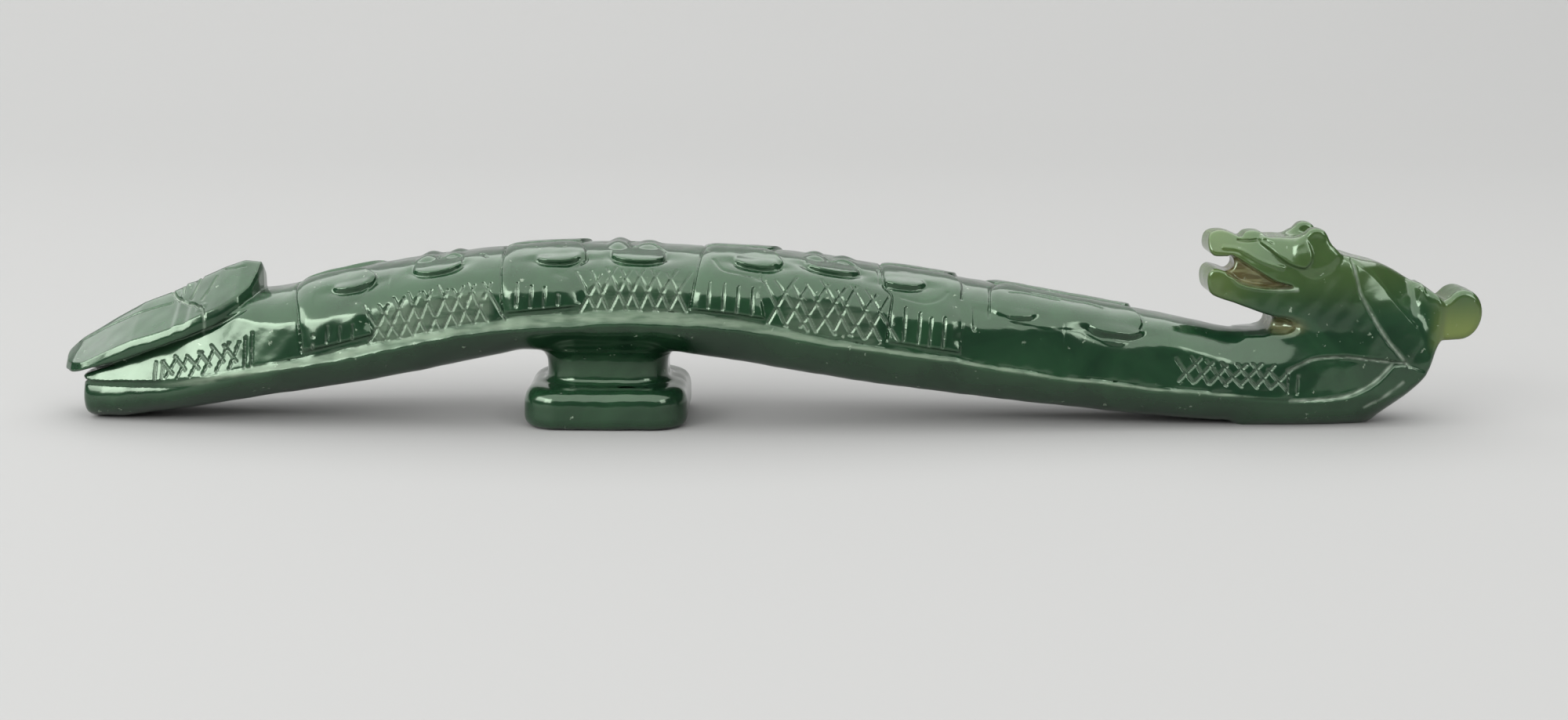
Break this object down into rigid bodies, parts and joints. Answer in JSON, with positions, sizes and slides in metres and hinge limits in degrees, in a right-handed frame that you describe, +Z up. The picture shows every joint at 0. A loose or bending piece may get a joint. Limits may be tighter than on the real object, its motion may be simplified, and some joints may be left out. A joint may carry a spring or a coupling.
{
  "type": "jade belt hook",
  "caption": "Carved jade belt hook: arched shank with raised panels, a rest button on a short stem, and an end that turns back into a small dragon's head.",
  "frame": {"origin": "middle of the length and the width, on the surface that the belt hook stands on", "axes": "+X along the shank from the tail head to the bend, +Y across the shank away from the side that the picture shows, +Z up, away from the button"},
  "size_m": [0.1342, 0.0162, 0.0187],
  "materials": {
    "spinach_jade": "polished",
    "pale_jade": "polished"
  },
  "bodies": {
    "root": {"tail_head": "spinach_jade", "shank": "spinach_jade", "stem": "spinach_jade", "button": "spinach_jade", "hook_neck": "spinach_jade", "dragon_head": "pale_jade", "mane_knob": "pale_jade"}
  },
  "joints": []
}
